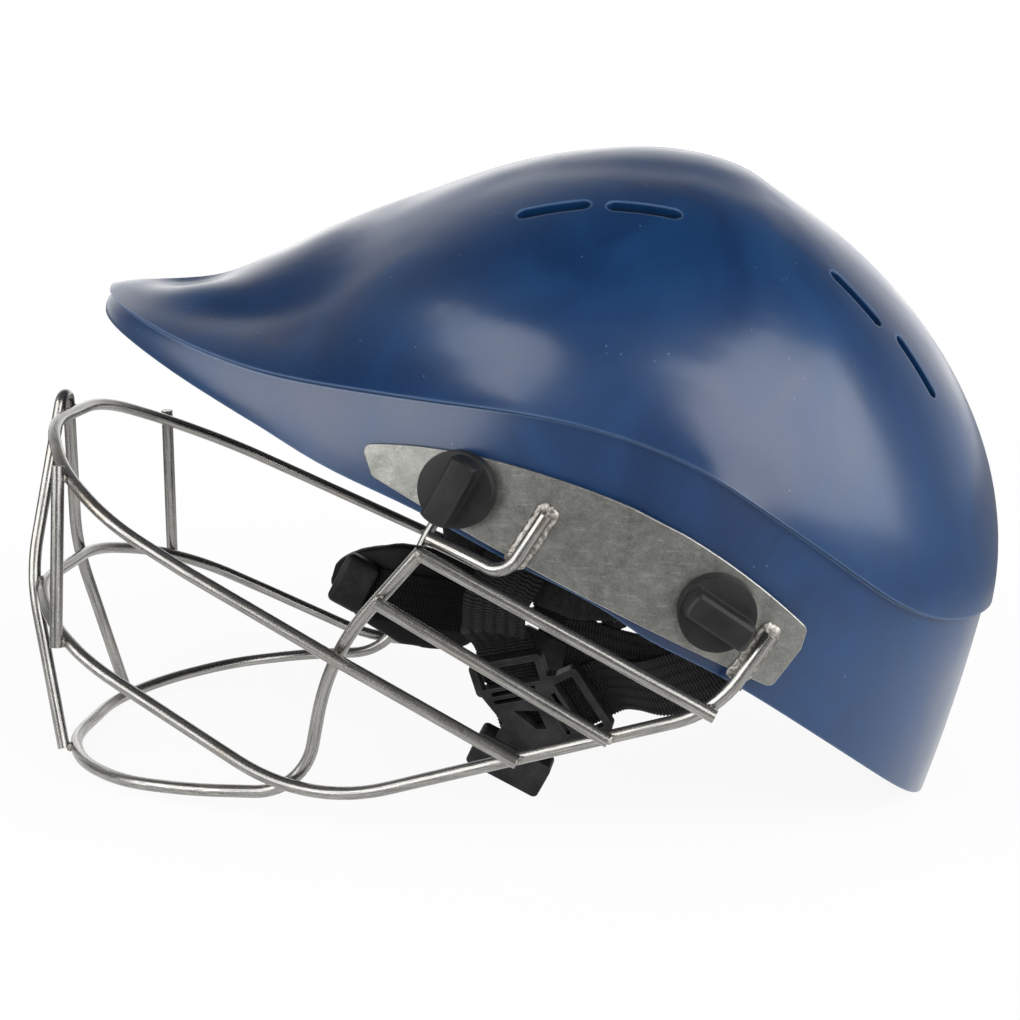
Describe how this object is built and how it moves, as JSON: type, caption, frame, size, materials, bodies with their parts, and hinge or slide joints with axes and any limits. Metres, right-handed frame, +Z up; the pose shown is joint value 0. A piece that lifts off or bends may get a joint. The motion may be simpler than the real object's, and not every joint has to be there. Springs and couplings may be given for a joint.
{
  "type": "cricket helmet",
  "caption": "Peaked batting helmet with padded shell, curved steel side plates, welded wire faceguard, hand-turned clamp knobs and a webbing chin harness.",
  "frame": {"origin": "middle of the footprint on the surface the helmet stands on, faceguard down", "axes": "+Z up, the front of the helmet towards -Y, the wearer's left towards +X; the helmet is tipped forward 25.4 degrees from its worn pose, as it stands"},
  "size_m": [0.2508, 0.3476, 0.2233],
  "materials": {
    "shell_navy": "glossy moulded shell, navy blue with a faint speckle",
    "foam": "black foam under brushed cloth",
    "plate_steel": "satin sheet steel",
    "wire_steel": "drawn wire, tumbled after welding",
    "knob_plastic": "moulded, lightly textured",
    "hardware_steel": "zinc plated",
    "washer_rubber": "soft black rubber",
    "webbing": "ribbed polyester webbing",
    "buckle_plastic": "moulded charcoal"
  },
  "bodies": {
    "helmet": {"shell": "shell_navy", "crown_liner": "foam", "brow_pad": "foam", "nape_pad": "foam", "tee_nuts": "hardware_steel", "rubber_washers": "washer_rubber", "strap_rivets": "hardware_steel", "upper_wire": "wire_steel", "middle_wire": "wire_steel", "lower_wire": "wire_steel", "centre_bar": "wire_steel", "chin_strap": "webbing", "chin_cup": "buckle_plastic", "buckle_plug": "buckle_plastic", "temple_pad_left": "foam", "temple_pad_right": "foam", "side_plate_left": "plate_steel", "side_plate_right": "plate_steel", "short_bar_left": "wire_steel", "short_bar_right": "wire_steel", "mid_side_bar_left": "wire_steel", "mid_side_bar_right": "wire_steel", "upper_side_bar_left": "wire_steel", "upper_side_bar_right": "wire_steel", "front_leg_left": "wire_steel", "front_leg_right": "wire_steel", "front_strap_left": "webbing", "front_strap_right": "webbing", "rear_strap_left": "webbing", "rear_strap_right": "webbing", "strap_divider_left": "buckle_plastic", "strap_divider_right": "buckle_plastic"},
    "front_left_clamp": {"front_knob_left": "knob_plastic", "front_screw_left": "hardware_steel"},
    "front_right_clamp": {"front_knob_right": "knob_plastic", "front_screw_right": "hardware_steel"},
    "rear_left_clamp": {"rear_knob_left": "knob_plastic", "rear_screw_left": "hardware_steel"},
    "rear_right_clamp": {"rear_knob_right": "knob_plastic", "rear_screw_right": "hardware_steel"}
  },
  "joints": [
    {"name": "front_left_turn", "type": "hinge", "parent": "helmet", "child": "front_left_clamp", "pos_m": [0.10933, -0.00394, 0.12051], "axis": [0.9833, -0.1643, 0.078], "continuous": true},
    {"name": "front_right_turn", "type": "hinge", "parent": "helmet", "child": "front_right_clamp", "pos_m": [-0.10933, -0.00394, 0.12051], "axis": [-0.9833, -0.1643, 0.078], "continuous": true},
    {"name": "rear_left_turn", "type": "hinge", "parent": "helmet", "child": "rear_left_clamp", "pos_m": [0.11081, 0.07582, 0.08707], "axis": [0.989, 0.1338, -0.0635], "continuous": true},
    {"name": "rear_right_turn", "type": "hinge", "parent": "helmet", "child": "rear_right_clamp", "pos_m": [-0.11081, 0.07582, 0.08707], "axis": [-0.989, 0.1338, -0.0635], "continuous": true}
  ]
}
